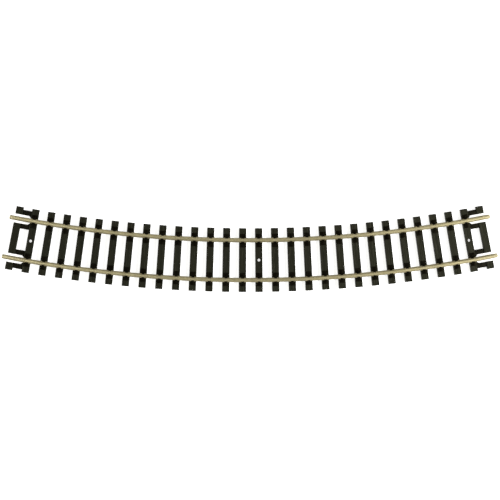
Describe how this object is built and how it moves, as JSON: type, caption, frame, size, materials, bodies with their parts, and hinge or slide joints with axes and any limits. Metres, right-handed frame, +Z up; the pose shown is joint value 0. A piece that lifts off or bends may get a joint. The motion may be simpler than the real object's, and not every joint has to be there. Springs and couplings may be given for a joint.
{
  "type": "model track section",
  "caption": "Curved two-rail model railway track section: nickel silver rails in the moulded chairs of a black plastic sleeper base, with pin holes and split end sleepers for rail joiners.",
  "frame": {"origin": "middle of the section's plan box, on the plane that the sleepers stand on", "axes": "+X along the chord of the curve, +Y towards the curve's centre, +Z up from the baseboard"},
  "size_m": [0.2218, 0.0386, 0.0049],
  "materials": {
    "sleeper_plastic": "moulded black with a fine wood grain and a faint sheen",
    "rail_metal": "drawn nickel silver, satin, lightly toned"
  },
  "bodies": {
    "root": {"sleeper_base": "sleeper_plastic", "inner_rail": "rail_metal", "outer_rail": "rail_metal"}
  },
  "joints": []
}
